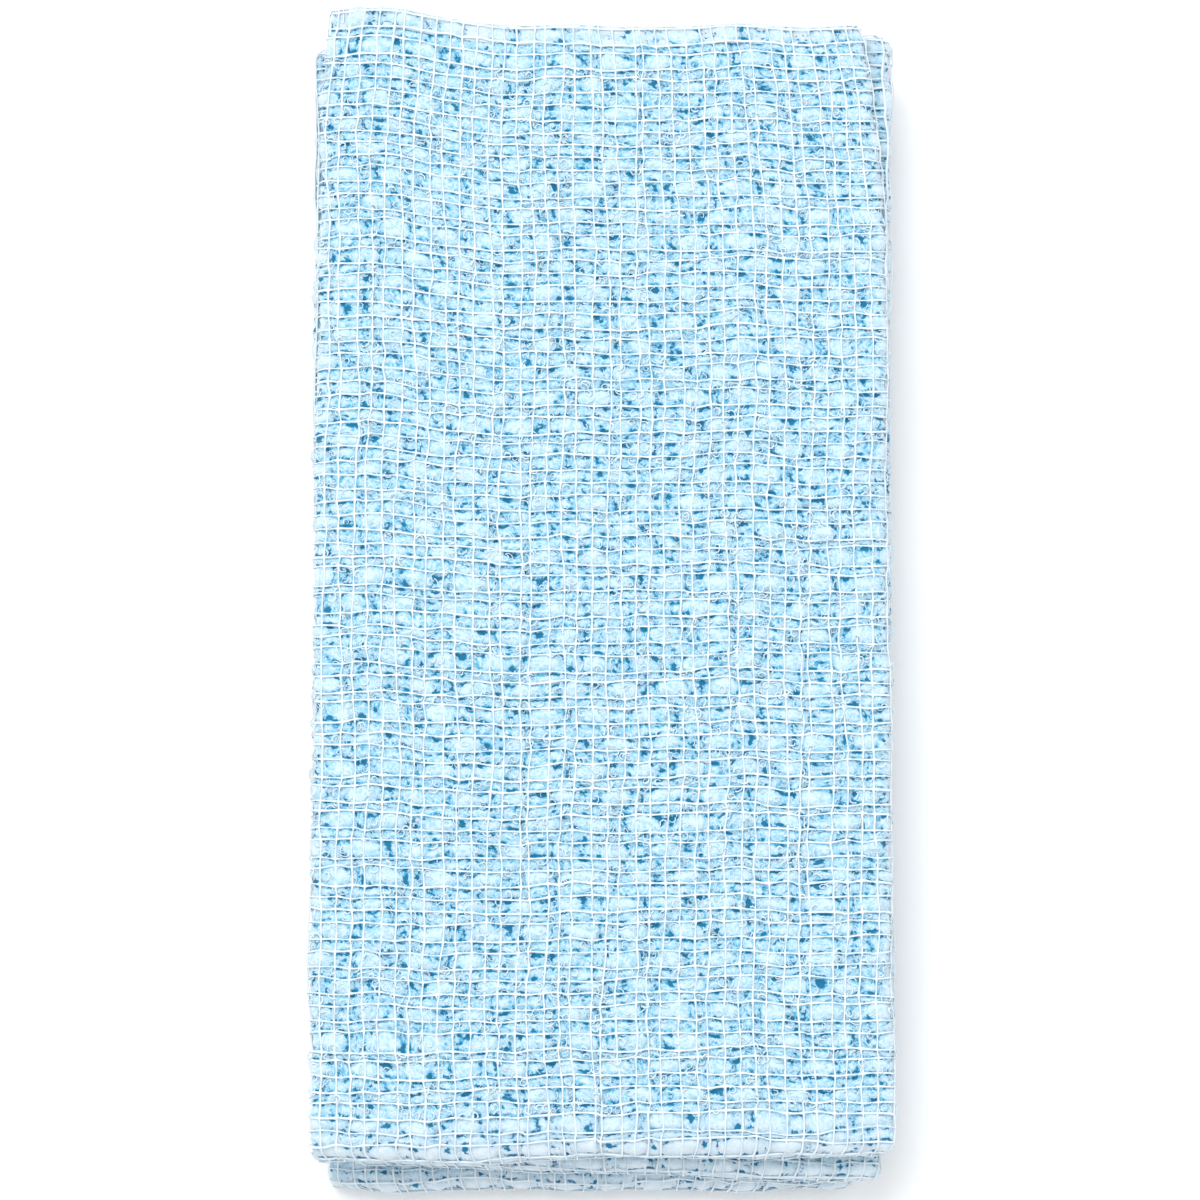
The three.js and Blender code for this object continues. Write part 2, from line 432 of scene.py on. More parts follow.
# Hollows, two to a cell: their places and sizes as shares of the cell
PITS = 2
PIT_ACROSS, PIT_ALONG = (0.24, 0.76), (0.2, 0.8)
PIT_WIDE, PIT_HIGH = (0.1, 0.24), (0.1, 0.2)
PIT_STRAY = 0.12
PUFF_FULL = (0.75, 1.1)
PUFF_STRAY = 0.07
SPECKLES = 3  # values to a cell in the grids of lumps and fluff
LUMP_SIZE, FLUFF_SIZE = 0.7, 0.5  # in those values

# Relief of the texture yarn in millimetres
YARN_SINK = 0.1
LUMP_HEIGHT, FLUFF_HEIGHT = 0.13, 0.08
DIP_BESIDE_THREADS = 0.16
SHORT_ROW_PUFF = 0.25  # a short row is this share as full as a puff


def stray(chance, shape, axis, drift, shares):
    """How far each crossing strays along one axis of the lattice, in shares of the unevenness."""
    with_neighbours, with_thread, alone = shares
    sway = soften(chance.normal(size=shape), drift, axis)
    threads = (shape[0], 1) if axis == 1 else (1, shape[1])
    own = np.repeat(chance.normal(size=threads), shape[axis], axis)
    knock = chance.normal(size=shape).clip(-2, 2)
    return with_neighbours * sway + with_thread * own + alone * knock


def speckles(chance, shape, size):
    """A grid of soft random values, several to a cell."""
    values = chance.normal(size=(SPECKLES * shape[0], SPECKLES * shape[1]))
    return soften(soften(values, size, 0), size, 1)


class Weave:
    """The uneven lattice of the flat cloth and what fills its cells."""

    def __init__(self, sizes):
        self.sizes = sizes
        chance = np.random.default_rng(sizes.seed)
        self.across = int(round(U_END / sizes.cell_width))
        self.pairs = int(round(V_END / (sizes.tall_row + sizes.short_row)))
        self.along = 2 * self.pairs
        pair = V_END / self.pairs
        tall = pair * sizes.tall_row / (sizes.tall_row + sizes.short_row)
        self.lines_u = np.linspace(0, U_END, self.across + 1)
        self.lines_v = np.array([(k // 2) * pair + (k % 2) * tall for k in range(self.along + 1)])
        shape = (self.across + 1, self.along + 1)
        self.shift_u = sizes.unevenness * stray(chance, shape, 1, DRIFT_ACROSS, STRAY_ACROSS)
        self.shift_v = sizes.unevenness * stray(chance, shape, 0, DRIFT_ALONG, STRAY_ALONG)
        cells = (self.across, self.along)
        self.pit_a = chance.uniform(*PIT_ACROSS, size=(PITS, *cells))
        self.pit_b = chance.uniform(*PIT_ALONG, size=(PITS, *cells))
        self.pit_a[1] = 1 - self.pit_a[0] + chance.uniform(-PIT_STRAY, PIT_STRAY, size=cells)
        self.pit_wide = chance.uniform(*PIT_WIDE, size=(PITS, *cells))
        self.pit_high = chance.uniform(*PIT_HIGH, size=(PITS, *cells))
        self.pit_draw = chance.uniform(size=(PITS, *cells))
        self.puff_full = chance.uniform(*PUFF_FULL, size=cells)
        self.puff_phase = chance.normal(size=self.along) * PUFF_STRAY
        self.lumps = speckles(chance, shape, LUMP_SIZE)
        self.fluff = speckles(chance, shape, FLUFF_SIZE)

    def places(self, columns, rows):
        """Flat coordinates of lattice points at fractional columns and rows, as two grids."""
        pick_u = spread_weights(columns, self.across + 1)
        pick_v = spread_weights(rows, self.along + 1)
        u = np.interp(columns, np.arange(self.across + 1), self.lines_u)[:, None]
        v = np.interp(rows, np.arange(self.along + 1), self.lines_v)
        beyond = np.minimum(rows, 0) + np.maximum(rows - self.along, 0)
        v = (v + beyond * self.sizes.tall_row)[None, :]
        edge = np.minimum(1, np.minimum(columns, self.across - columns))[:, None]
        end = np.minimum(1, np.minimum(rows, self.along - rows).clip(0))[None, :]
        u = u + pick_u @ self.shift_u @ pick_v.T * edge
        v = v + pick_u @ self.shift_v @ pick_v.T * end
        return u.clip(0, U_END), v

    def speckle(self, grid, columns, rows):
        """Reads a grid of speckles at fractional columns and rows."""
        pick_u = spread_weights(columns * SPECKLES, grid.shape[0])
        pick_v = spread_weights(rows * SPECKLES, grid.shape[1])
        return pick_u @ grid @ pick_v.T

    def puffs(self, columns, rows):
        """How full of texture yarn the cloth is: long puffs in the tall rows, in brick order."""
        cell = np.clip(np.floor(rows).astype(int), 0, self.along - 1)
        b = rows - np.floor(rows)
        u = np.interp(columns, np.arange(self.across + 1), self.lines_u)
        brick = 0.5 * ((cell // 2) % 2) + self.puff_phase[cell]
        wave = np.cos(2 * math.pi * (u[:, None] / self.sizes.puff_repeat + brick[None, :]))
        along_puff = np.sin(math.pi * b)[None, :]
        round_puff = smooth_step(wave + 1.1 * along_puff - 0.5)
        full = self.puff_full[np.clip(columns.astype(int), 0, self.across - 1)][:, cell]
        tall = (cell % 2 == 0)[None, :]
        return np.where(tall, round_puff * full, SHORT_ROW_PUFF * along_puff)

    def pits(self, columns, rows, puff):
        """How deep one sees between the yarns: small hollows beside the threads."""
        i = np.clip(np.floor(columns).astype(int), 0, self.across - 1)
        k = np.clip(np.floor(rows).astype(int), 0, self.along - 1)
        a, b = (columns - i)[:, None], (rows - k)[None, :]
        window = np.sin(math.pi * a.clip(0, 1)) ** 0.5 * np.sin(math.pi * b.clip(0, 1)) ** 0.5
        deep = np.zeros((len(columns), len(rows)))
        tall = (k % 2 == 0)[None, :]
        for n in range(PITS):
            at = np.ix_([n], i, k)
            chance = np.where(tall, 0.8 - 0.25 * n, 0.4 - 0.2 * n)
            there = (self.pit_draw[at][0] < chance) * (0.6 + 0.4 * self.pit_draw[at][0] / chance)
            ea = (a - self.pit_a[at][0]) / self.pit_wide[at][0]
            eb = (b - self.pit_b[at][0]) / self.pit_high[at][0]
            deep = np.maximum(deep, there * np.exp(-0.5 * (ea**2 + eb**2) ** 1.4))
        return deep * window * (1 - 0.85 * puff.clip(0, 1))


def yarn_lift(weave, columns, rows):
    """Relief of the texture yarn, and what colours it: how full it is, and how deep one sees, which also
    lays painted shade in the hollows.
    """
    sizes = weave.sizes
    puff = weave.puffs(columns, rows)
    hollow = weave.pits(columns, rows, puff)
    lumps = weave.speckle(weave.lumps, columns, rows)
    fluff = weave.speckle(weave.fluff, columns, rows)
    beside = smooth_step((np.abs(rows - np.floor(rows) - 0.5) * 2 - 0.2) / 0.5)[None, :]
    lift = -YARN_SINK + sizes.puff_height * puff + LUMP_HEIGHT * lumps + FLUFF_HEIGHT * fluff
    lift = lift - DIP_BESIDE_THREADS * beside * (1 - puff.clip(0, 1)) - sizes.pit_depth * hollow
    return lift, puff, hollow


# ---------------------------------------------------------------------------------------------
# Meshes


def link_mesh(name, mesh):
    """Puts a mesh in the scene as an object."""
    body = bpy.data.objects.new(name, mesh)
    bpy.context.scene.collection.objects.link(body)
    return body


def fill_attribute(mesh, name, values):
    """Gives every point of a mesh a number."""
    layer = mesh.attributes.new(name, "FLOAT", "POINT")
    layer.data.foreach_set("value", np.ascontiguousarray(values, np.float32).ravel())


def fill_vectors(mesh, name, values):
    """Gives every point of a mesh a vector."""
    layer = mesh.attributes.new(name, "FLOAT_VECTOR", "POINT")
    layer.data.foreach_set("vector", np.ascontiguousarray(values, np.float32).ravel())


def grid_mesh(name, points):
    """A sheet of quads through a grid of points, with its front towards the cloth's outer side."""
    columns, rows = points.shape[:2]
    index = np.arange(columns * rows).reshape(columns, rows)
    corners = (index[:-1, :-1], index[:-1, 1:], index[1:, 1:], index[1:, :-1])
    quads = np.stack(corners, -1).reshape(-1, 4)
    mesh = bpy.data.meshes.new(name)
    mesh.vertices.add(columns * rows)
    mesh.vertices.foreach_set("co", points.astype(np.float32).ravel())
    mesh.loops.add(quads.size)
    mesh.loops.foreach_set("vertex_index", quads.astype(np.int32).ravel())
    mesh.polygons.add(len(quads))
    mesh.polygons.foreach_set("loop_start", np.arange(0, quads.size, 4, dtype=np.int32))
    mesh.update(calc_edges=True)
    mesh.shade_smooth()
    return mesh


# Points to the cell of each kind of piece: of its cloth on the face, on the outer flap, on the hidden
# inner flap and along the cloth, and of its threads on the face and on the outer flap
CLOTH_DETAIL = {
    "top": (5, 1.5, 0.5, 4),
    "panel": (3, 3, 0.5, 3),
    "crease": (4, 4, 0.5, 5),
    "hem": (4, 3, 0.5, 6),
}
THREAD_DETAIL = {"top": (3, 1), "panel": (1, 1), "crease": (4, 4)}


def cloth_piece(name, weave, first, last, kind):
    """A piece of the texture yarn between two row lines."""
    face, outer, inner, along = CLOTH_DETAIL[kind]
    columns = lattice_columns(weave, face, outer, inner)
    rows = fractions(first, last, along)
    u, v = weave.places(columns, rows)
    lift, puff, hollow = yarn_lift(weave, columns, rows)
    points, bent = fold(u.ravel(), v.ravel(), lift.ravel())
    mesh = grid_mesh(name, points.reshape(*u.shape, 3))
    fill_attribute(mesh, "puff", puff)
    fill_attribute(mesh, "hollow", hollow)
    fill_attribute(mesh, "bent", bent)
    where = np.stack([*np.broadcast_arrays(columns[:, None], rows[None, :]), np.zeros(u.shape)], -1)
    fill_vectors(mesh, "weave", where)
    mesh.materials.append(material_of("crimped_nylon_texture_yarn"))
    return link_mesh(name, mesh)


THREAD_SLENDER = 0.8  # thickness of a thread between crossings, as a share of its nominal one
THREAD_LUMPS = 0.28
THREAD_KNOT = 0.7  # how much thicker it is at a crossing
THREAD_AT_FOLD = 0.2  # and where the cloth is bent
KNOT_SHARPNESS = 4
CROSSING_LIFT = 0.05  # threads pass this much over and under each other, in millimetres


def thread_lines(weave, columns, rows, lift, swap):
    """Points along threads, one thread after another. swap is True where the threads run across."""
    u, v = weave.places(columns, rows)
    points, bent = fold(u.ravel(), v.ravel(), lift.ravel())
    points = points.reshape(*u.shape, 3)
    bent = bent.reshape(u.shape)
    knot_across = np.cos(math.pi * columns)[:, None] ** KNOT_SHARPNESS
    knot = knot_across * np.cos(math.pi * rows)[None, :] ** KNOT_SHARPNESS
    lumps = weave.speckle(weave.lumps, columns, rows).clip(-1, 1)
    thick = THREAD_SLENDER + THREAD_LUMPS * lumps + THREAD_KNOT * knot * (1 - bent)
    thick = thick * (1 + THREAD_AT_FOLD * bent)
    if swap:
        points, bent, thick = points.transpose(1, 0, 2), bent.T, thick.T
    return points, bent, thick


def thread_mesh(name, bundles):
    """Loose edges along every thread of several bundles, for the tube nodes."""
    coords, edges, bents, thicks = [], [], [], []
    offset = 0
    for points, bent, thick in bundles:
        lines, count = points.shape[:2]
        index = np.arange(lines * count).reshape(lines, count) + offset
        edges.append(np.stack([index[:, :-1], index[:, 1:]], -1).reshape(-1, 2))
        coords.append(points.reshape(-1, 3))
        bents.append(bent.ravel())
        thicks.append(thick.ravel())
        offset += lines * count
    edges = np.concatenate(edges)
    mesh = bpy.data.meshes.new(name)
    mesh.vertices.add(offset)
    mesh.vertices.foreach_set("co", np.concatenate(coords).astype(np.float32).ravel())
    mesh.edges.add(len(edges))
    mesh.edges.foreach_set("vertices", edges.astype(np.int32).ravel())
    mesh.update()
    fill_attribute(mesh, "bent", np.concatenate(bents))
    fill_attribute(mesh, "thick", np.concatenate(thicks))
    return mesh


def thread_heights(columns, rows, base):
    """Threads lie on the yarn and pass over and under each other at the crossings."""
    return base + CROSSING_LIFT * np.cos(math.pi * columns)[:, None] * np.cos(math.pi * rows)[None, :]


# ---------------------------------------------------------------------------------------------
# Geometry Nodes


def add_node(tree, kind, inputs=None, **settings):
    """Adds a node with its settings, and links or sets its inputs. A node stands for its first output."""
    node = tree.nodes.new(kind)
    for name, value in settings.items():
        setattr(node, name, value)
    for key, value in (inputs or {}).items():
        if isinstance(value, bpy.types.Node):
            value = value.outputs[0]
        if isinstance(value, bpy.types.NodeSocket):
            tree.links.new(value, node.inputs[key])
        else:
            node.inputs[key].default_value = value
    return node


def new_growth(name, inputs):
    """An empty geometry tree with named inputs, and the nodes that start and end it."""
    tree = bpy.data.node_groups.new(name, "GeometryNodeTree")
    tree.interface.new_socket(name="Geometry", in_out="INPUT", socket_type="NodeSocketGeometry")
    for label, kind in inputs:
        tree.interface.new_socket(name=label, in_out="INPUT", socket_type=kind)
    tree.interface.new_socket(name="Geometry", in_out="OUTPUT", socket_type="NodeSocketGeometry")
    return tree, add_node(tree, "NodeGroupInput")


def end_growth(tree, geometry, material):
    """Ends a tree with plain geometry in one material."""
    real = add_node(tree, "GeometryNodeRealizeInstances", {"Geometry": geometry})
    smooth = add_node(tree, "GeometryNodeSetShadeSmooth", {"Geometry": real})
    dyed = add_node(tree, "GeometryNodeSetMaterial", {"Geometry": smooth, "Material": material})
    add_node(tree, "NodeGroupOutput", {"Geometry": dyed})


def thread_growth():
    """Tubes along loose edges."""
    sockets = [
        ("Thread Radius", "NodeSocketFloat"),
        ("Sides", "NodeSocketInt"),
        ("Material", "NodeSocketMaterial"),
    ]
    tree, given = new_growth("thread_tubes", sockets)
    thick = add_node(tree, "GeometryNodeInputNamedAttribute", {"Name": "thick"}, data_type="FLOAT")
    line = add_node(tree, "GeometryNodeMeshToCurve", {"Mesh": given.outputs["Geometry"]})
    size = {"Resolution": given.outputs["Sides"], "Radius": given.outputs["Thread Radius"]}
    ring = add_node(tree, "GeometryNodeCurvePrimitiveCircle", size)
    sweep = {"Curve": line, "Profile Curve": ring, "Scale": thick, "Fill Caps": True}
    tube = add_node(tree, "GeometryNodeCurveToMesh", sweep)
    end_growth(tree, tube, given.outputs["Material"])
    return tree


LOOP_SWEEPS = (2.2, 3.6, 4.9)  # how far round each of the three shapes of loop goes, in radians
LOOP_SMALLEST, LOOP_LARGEST = (0.7, 0.5, 0.7), (1.25, 1.0, 1.25)


def loop_growth():
    """Small open loops of crimped yarn, three shapes of them, on points that know which way is out."""
    sockets = [
        ("Loop Radius", "NodeSocketFloat"),
        ("Yarn Radius", "NodeSocketFloat"),
        ("Tilt", "NodeSocketFloat"),
        ("Seed", "NodeSocketInt"),
        ("Material", "NodeSocketMaterial"),
    ]
    tree, given = new_growth("yarn_loops", sockets)
    size = {"Resolution": 3, "Radius": given.outputs["Yarn Radius"]}
    ring = add_node(tree, "GeometryNodeCurvePrimitiveCircle", size)
    shapes = add_node(tree, "GeometryNodeJoinGeometry")
    for sweep in LOOP_SWEEPS:
        size = {"Resolution": 6, "Radius": given.outputs["Loop Radius"], "Sweep Angle": sweep}
        arc = add_node(tree, "GeometryNodeCurveArc", size, mode="RADIUS")
        tube = add_node(tree, "GeometryNodeCurveToMesh", {"Curve": arc, "Profile Curve": ring})
        one = add_node(tree, "GeometryNodeGeometryToInstance", {"Geometry": tube})
        tree.links.new(one.outputs[0], shapes.inputs[0])
    out = add_node(tree, "GeometryNodeInputNamedAttribute", {"Name": "out"}, data_type="FLOAT_VECTOR")
    turn = add_node(tree, "FunctionNodeAlignRotationToVector", {"Vector": out}, axis="Z")
    chance = {"Min": LOOP_SMALLEST, "Max": LOOP_LARGEST, "Seed": given.outputs["Seed"]}
    size = add_node(tree, "FunctionNodeRandomValue", chance, data_type="FLOAT_VECTOR")
    where = {
        "Points": given.outputs["Geometry"],
        "Instance": shapes,
        "Pick Instance": True,
        "Rotation": turn,
        "Scale": size,
    }
    placed = add_node(tree, "GeometryNodeInstanceOnPoints", where)
    tilt = given.outputs["Tilt"]
    most = add_node(tree, "ShaderNodeCombineXYZ", {0: tilt, 1: tilt, 2: 2 * math.pi})
    mirror = {0: most, 1: (-1.0, -1.0, 0.0)}
    least = add_node(tree, "ShaderNodeVectorMath", mirror, operation="MULTIPLY")
    chance = {"Min": least, "Max": most, "Seed": given.outputs["Seed"]}
    spin = add_node(tree, "FunctionNodeRandomValue", chance, data_type="FLOAT_VECTOR")
    turned = add_node(tree, "GeometryNodeRotateInstances", {"Instances": placed, "Rotation": spin})
    end_growth(tree, turned, given.outputs["Material"])
    return tree


def grow(piece, tree, values):
    """Runs a geometry tree on a piece and leaves it as a plain mesh."""
    modifier = piece.modifiers.new(tree.name, "NODES")
    modifier.node_group = tree
    for item in tree.interface.items_tree:
        if item.item_type == "SOCKET" and item.in_out == "INPUT" and item.name in values:
            modifier[item.identifier] = values[item.name]
    graph = bpy.context.evaluated_depsgraph_get()
    made = bpy.data.meshes.new_from_object(
        piece.evaluated_get(graph), preserve_all_data_layers=True, depsgraph=graph
    )
    piece.modifiers.clear()
    seed = piece.data
    piece.data = made
    made.name = piece.name
    bpy.data.meshes.remove(seed)
    return piece


def shared_tree(name, maker):
    """The geometry tree of this name, made once."""
    return bpy.data.node_groups.get(name) or maker()


# ---------------------------------------------------------------------------------------------
# Materials


def linear_from_hex(code):
    """sRGB hex to linear colour."""
    parts = [int(code[i : i + 2], 16) / 255 for i in (1, 3, 5)]
    return tuple(c / 12.92 if c <= 0.04045 else ((c + 0.055) / 1.055) ** 2.4 for c in parts)


def new_material(name):
    """An empty material, ready for nodes."""
    material = bpy.data.materials.new(name)
    material.use_nodes = True
    material.node_tree.nodes.clear()
    return material, material.node_tree


def opaque(colour):
    """A colour as a node takes it."""
    return (*colour, 1.0)


def crimp(tree, size_mm, detail, twist=0.0):
    """Uneven grain on object coordinates, about size_mm across, from 0 to 1."""
    where = add_node(tree, "ShaderNodeTexCoord").outputs["Object"]
    scale = 1 / (size_mm * MM)
    values = {"Vector": where, "Scale": scale, "Detail": detail, "Roughness": 0.6, "Distortion": twist}
    return add_node(tree, "ShaderNodeTexNoise", values)


def dyed(tree, tone, *layers):
    """A colour with others over it: each is laid by a value, from where to where, and covers at most."""
    for colour, value, low, high, most in layers:
        reach = {"Value": value, "From Min": low, "From Max": high, "To Max": most}
        share = add_node(tree, "ShaderNodeMapRange", reach, interpolation_type="SMOOTHSTEP")
        both = {0: share, 6: tone, 7: opaque(colour)}
        tone = add_node(tree, "ShaderNodeMix", both, data_type="RGBA").outputs[2]
    return tone


def finish(tree, values):
    """Ends a material in one shader."""
    shader = add_node(tree, "ShaderNodeBsdfPrincipled", values)
    add_node(tree, "ShaderNodeOutputMaterial", {"Surface": shader})


# Cloudiness of the texture yarn, laid on the weave: grains to a cell, detail and twist. The strands are
# single filaments, drawn as coarse as they need to show.
YARN_NOISES = {
    "cloudy": (2.4, 2.0, 0.4),
    "broad": (1.9, 1.0, 0.0),
    "small": (4.6, 1.0, 0.0),
    "mottled": (2.7, 2.0, 1.0),
    "long_strands": (1.7, 0.0, 0.6),
    "short_strands": (2.9, 0.0, 0.6),
}
NOISE_STRENGTH = {"cloudy": 1.3, "broad": 1.7, "small": 1.0}
STRAND_WIDTH = {"long_strands": 0.05, "short_strands": 0.07}


def yarn_noises(tree, weave):
    """The noises of the texture yarn: those with a strength swing about zero, and strands are thin lines."""
    made = {}
    for name, (per_cell, detail, twist) in YARN_NOISES.items():
        values = {"Vector": weave, "Scale": per_cell, "Detail": detail, "Distortion": twist}
        values["Roughness"] = 0.55
        made[name] = add_node(tree, "ShaderNodeTexNoise", values)
        if name == "mottled":
            continue
        made[name] = add_node(tree, "ShaderNodeMath", {0: made[name], 1: 0.5}, operation="SUBTRACT")
    for name, strength in NOISE_STRENGTH.items():
        made[name] = add_node(tree, "ShaderNodeMath", {0: made[name], 1: strength}, operation="MULTIPLY")
    for name, width in STRAND_WIDTH.items():
        off = add_node(tree, "ShaderNodeMath", {0: made[name], 1: 0.0}, operation="ABSOLUTE")
        reach = {"Value": off, "From Min": 0.3 * width, "From Max": width}
        gap = add_node(tree, "ShaderNodeMapRange", reach, interpolation_type="SMOOTHSTEP")
        made[name] = add_node(tree, "ShaderNodeMath", {0: 1.0, 1: gap}, operation="SUBTRACT")
    return made


def yarn_depth_shade(tree, row, noises, puffed, hollow):
    """Painted shade of the recesses of the texture yarn, partly the blue of the plies below seen through:
    deeper beside threads and in hollows, less so on a puff.
    """
    # painted shade: darker towards the threads across, where the yarn dips
    part = add_node(tree, "ShaderNodeMath", {0: row, 1: 0.0}, operation="FRACT")
    off = add_node(tree, "ShaderNodeMath", {0: part, 1: 0.5}, operation="SUBTRACT")
    off = add_node(tree, "ShaderNodeMath", {0: off, 1: 0.0}, operation="ABSOLUTE")
    reach = {"Value": off, "From Min": 0.1, "From Max": 0.34}
    beside = add_node(tree, "ShaderNodeMapRange", reach, interpolation_type="SMOOTHSTEP")
    beside = add_node(tree, "ShaderNodeMath", {0: beside, 1: 0.3}, operation="MULTIPLY")
    patchy = add_node(tree, "ShaderNodeMath", {0: noises["broad"], 1: noises["small"]}, operation="ADD")
    patchy = add_node(tree, "ShaderNodeMath", {0: patchy, 1: beside}, operation="ADD")
    patchy = add_node(tree, "ShaderNodeMath", {0: patchy, 1: 0.2}, operation="ADD")
    covered = add_node(tree, "ShaderNodeMath", {0: puffed, 1: 0.82}, operation="MULTIPLY")
    bare = add_node(tree, "ShaderNodeMath", {0: 1.0, 1: covered}, operation="SUBTRACT")
    deep = add_node(tree, "ShaderNodeMath", {0: patchy, 1: bare}, operation="MULTIPLY")
    # painted shade in the hollows, over the blue of the plies below seen through
    hollow_shade = add_node(tree, "ShaderNodeMath", {0: hollow, 1: 0.75}, operation="MULTIPLY")
    return add_node(tree, "ShaderNodeMath", {0: deep, 1: hollow_shade}, operation="ADD")


# Crimped nylon texture yarn: matt, pale where the filaments puff up, mid blue beside the threads and
# deep blue in the hollows, partly the plies below seen through and partly painted shade in those recesses,
# with single pale filaments curling across, and greyer on turned edges and crease noses, partly cloth
# stretched thin and partly painted shade.
def texture_yarn(colours):
    material, tree = new_material("crimped_nylon_texture_yarn")
    weave = add_node(tree, "ShaderNodeAttribute", attribute_name="weave").outputs["Vector"]
    row = add_node(tree, "ShaderNodeSeparateXYZ", {0: weave}).outputs[1]
    puff = add_node(tree, "ShaderNodeAttribute", attribute_name="puff").outputs["Fac"]
    hollow = add_node(tree, "ShaderNodeAttribute", attribute_name="hollow").outputs["Fac"]
    bent = add_node(tree, "ShaderNodeAttribute", attribute_name="bent").outputs["Fac"]
    noises = yarn_noises(tree, weave)
    cloudy = add_node(tree, "ShaderNodeMath", {0: puff, 1: noises["cloudy"]}, operation="ADD")
    reach = {"Value": cloudy, "From Min": 0.15, "From Max": 0.75}
    puffed = add_node(tree, "ShaderNodeMapRange", reach, interpolation_type="SMOOTHSTEP")
    deep = yarn_depth_shade(tree, row, noises, puffed, hollow)
    # the shaded layer over the mid blue is painted shade round the hollows
    tone = dyed(
        tree,
        opaque(colours.puff),
        (colours.puff_shade, noises["mottled"], 0.42, 0.58, 1.0),
        (colours.between, deep, 0.02, 0.3, 1.0),
        (colours.between_deep_shade, deep, 0.34, 0.52, 1.0),
    )
    both = {0: noises["long_strands"], 1: noises["short_strands"]}
    strands = add_node(tree, "ShaderNodeMath", both, operation="MAXIMUM")
    strands = add_node(tree, "ShaderNodeMath", {0: strands, 1: 0.75}, operation="MULTIPLY")
    across = {0: strands, 6: tone, 7: opaque(colours.puff)}
    tone = add_node(tree, "ShaderNodeMix", across, data_type="RGBA").outputs[2]
    # greyer where the cloth is bent and deep blue in the hollows, each partly painted shade
    tone = dyed(tree, tone, (colours.fold, bent, 0.0, 1.0, 0.8), (colours.hollow, deep, 0.55, 0.74, 1.0))
    relief = {"Height": crimp(tree, 0.42, 2, 1.6), "Strength": 0.8, "Distance": 0.22 * MM}
    values = {
        "Base Color": tone,
        "Roughness": 0.88,
        "Specular IOR Level": 0.25,
        "Sheen Weight": 0.15,
        "Sheen Roughness": 0.5,
        "Normal": add_node(tree, "ShaderNodeBump", relief),
    }
    finish(tree, values)
    return material


# Fine twisted nylon ground thread: near white, a soft sheen, a little greyer where it dips, and greyer over
# folds and edges, partly painted shade.
def ground_thread(colours):
    material, tree = new_material("twisted_nylon_ground_thread")
    bent = add_node(tree, "ShaderNodeAttribute", attribute_name="bent").outputs["Fac"]
    tone = dyed(
        tree,
        opaque(colours.thread),
        (colours.thread_shade, crimp(tree, 0.8, 2), 0.35, 0.75, 0.55),
        # greyer where the cloth is bent: partly painted shade
        (colours.fold, bent, 0.2, 1.0, 0.6),
    )
    relief = {"Height": crimp(tree, 0.3, 1), "Strength": 0.3, "Distance": 0.06 * MM}
    values = {
        "Base Color": tone,
        "Roughness": 0.6,
        "Specular IOR Level": 0.4,
        "Sheen Weight": 0.2,
        "Normal": add_node(tree, "ShaderNodeBump", relief),
    }
    finish(tree, values)
    return material


# The same texture yarn where single loops stand up: paler, because light passes through them.
def loose_yarn(colours):
    material, tree = new_material("loose_nylon_texture_yarn")
    tone = dyed(tree, opaque(colours.loop), (colours.puff, crimp(tree, 2.0, 2), 0.35, 0.7, 1.0))
    finish(tree, {"Base Color": tone, "Roughness": 0.8, "Specular IOR Level": 0.25, "Sheen Weight": 0.2})
    return material


PAPER_SHADE = 0.995  # how little darker the paper's own grain is


# Seamless studio table: matt white paper that the light burns out.
def studio_paper(colour):
    material, tree = new_material("matt_white_paper")
    shade = tuple(PAPER_SHADE * part for part in colour)
    both = {0: crimp(tree, 3.0, 2), 6: opaque(colour), 7: opaque(shade)}
    tone = add_node(tree, "ShaderNodeMix", both, data_type="RGBA").outputs[2]
    finish(tree, {"Base Color": tone, "Roughness": 1.0, "Specular IOR Level": 0.0})
    return material


MAKERS = {
    "crimped_nylon_texture_yarn": texture_yarn,
    "twisted_nylon_ground_thread": ground_thread,
    "loose_nylon_texture_yarn": loose_yarn,
}


def material_of(name):
    """The material of this name, made once."""
    return bpy.data.materials.get(name) or MAKERS[name](bpy.context.scene.towel_colours)


# ---------------------------------------------------------------------------------------------
# Settings


def length(name, description, default, low=0.0):
    """A size of the weave in millimetres."""
    return FloatProperty(name=name, description=description, default=default, min=low, precision=2)


def colour(name, description, code):
    """A colour of the cloth or the stage."""
    shade = linear_from_hex(code)
    return FloatVectorProperty(
        name=name, description=description, subtype="COLOR", size=3, min=0, max=1, default=shade
    )


class TowelWeaveSettings(PropertyGroup):
    cell_width: length("Cell width", "Between threads that run along the cloth, mm", 2.6, 0.5)
    tall_row: length("Tall row", "Between cross threads either side of the puffs, mm", 2.6, 0.5)
    short_row: length("Short row", "Between cross threads where there are no puffs, mm", 2.1, 0.5)
    unevenness: length("Unevenness", "How far crossings stray, mm", 0.3)
    thread_radius: length("Thread radius", "Half the thickness of a ground thread, mm", 0.2, 0.02)
    puff_repeat: length("Puff repeat", "From one puff to the next in a row, mm", 8.7, 1.0)
    puff_height: length("Puff height", "How far a puff stands up, mm", 0.4)
    pit_depth: length("Pit depth", "How deep the hollows between yarns are, mm", 0.75)
    loop_radius: length("Loop radius", "Radius of a loose loop of yarn, mm", 0.62, 0.05)
    loop_yarn: length("Loop yarn radius", "Half the thickness of a loose strand, mm", 0.15, 0.01)
    loops_per_cell: FloatProperty(name="Loops", description="Loose loops in each cell", default=1.8, min=0)
    seed: IntProperty(name="Seed", description="Changes every chance in the weave", default=7, min=0)


